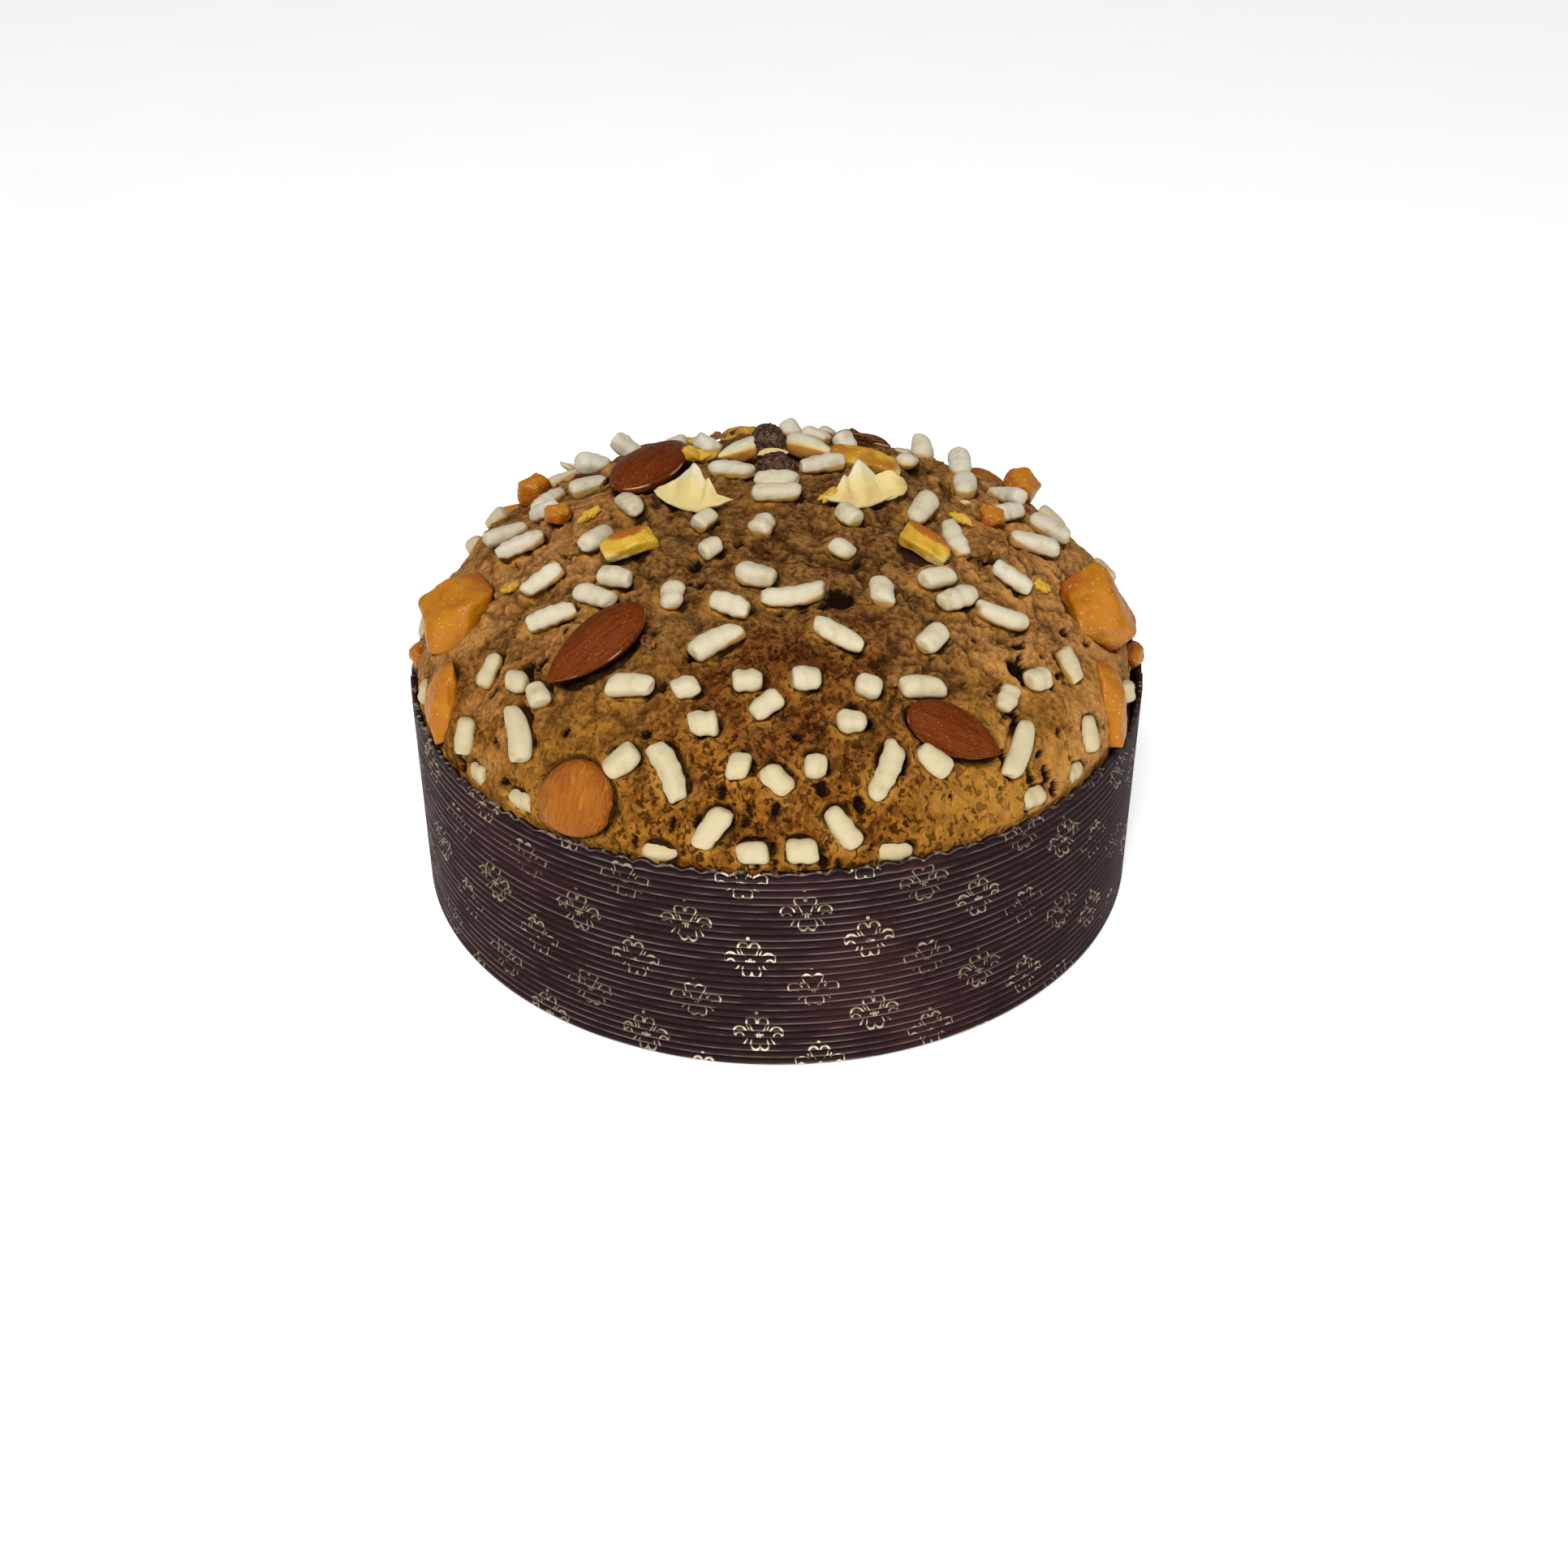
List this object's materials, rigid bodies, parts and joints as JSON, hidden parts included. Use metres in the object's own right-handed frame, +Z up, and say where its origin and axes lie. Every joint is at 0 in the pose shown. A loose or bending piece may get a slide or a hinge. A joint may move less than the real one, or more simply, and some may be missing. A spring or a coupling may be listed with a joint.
{
  "type": "veneziana cake",
  "caption": "Domed sweet leavened cake in a pleated paper case, glazed brown and studded with sugar nibs, whole almonds, flakes, candied fruit and peel.",
  "frame": {"origin": "centre of the paper case's flat underside, on the surface the cake stands on", "axes": "+Z up through the crown of the dome; -Y towards the side that the picture shows; +X to its right"},
  "size_m": [0.186, 0.186, 0.1071],
  "materials": {
    "case_paper": "dark burgundy-brown ribbed paper, satin, with a fine pale gold print",
    "crust_glaze": "baked brown nut glaze, cracked and finely porous, matte with a faint syrup gloss",
    "pearl_sugar": "opaque ivory compressed sugar, rough and matte",
    "almond_skin": "wrinkled red-brown almond skin, satin",
    "toasted_almond": "smooth toasted tan almond, satin",
    "almond_flesh": "pale ivory broken almond, matte",
    "candied_fruit": "translucent amber candied apricot, sticky gloss",
    "candied_peel": "translucent yellow candied peel, sticky gloss",
    "cocoa_nib": "coarse dark roasted cocoa, matte"
  },
  "bodies": {
    "root": {"almond_back_high": "almond_skin", "almond_back_low": "almond_skin", "almond_back_round": "toasted_almond", "almond_bit": "almond_flesh", "almond_chip_left": "almond_flesh", "almond_chip_right": "almond_flesh", "almond_crown": "almond_skin", "almond_left": "almond_skin", "almond_right": "almond_skin", "almond_round": "toasted_almond", "amber_bit_left": "candied_fruit", "amber_bit_right": "candied_fruit", "apricot_back": "candied_fruit", "apricot_back_left": "candied_fruit", "apricot_edge_left": "candied_fruit", "apricot_edge_right": "candied_fruit", "apricot_left": "candied_fruit", "apricot_right": "candied_fruit", "apricot_shoulder_left": "candied_fruit", "apricot_shoulder_right": "candied_fruit", "apricot_side_left": "candied_fruit", "apricot_side_right": "candied_fruit", "cake": "crust_glaze", "cocoa_nub_back": "cocoa_nib", "cocoa_nub_front": "cocoa_nib", "flake_back": "almond_flesh", "flake_left": "almond_flesh", "flake_right": "almond_flesh", "paper_case": "case_paper", "peel_back": "candied_peel", "peel_crown": "candied_peel", "peel_left": "candied_peel", "peel_right": "candied_peel"}
  },
  "joints": []
}
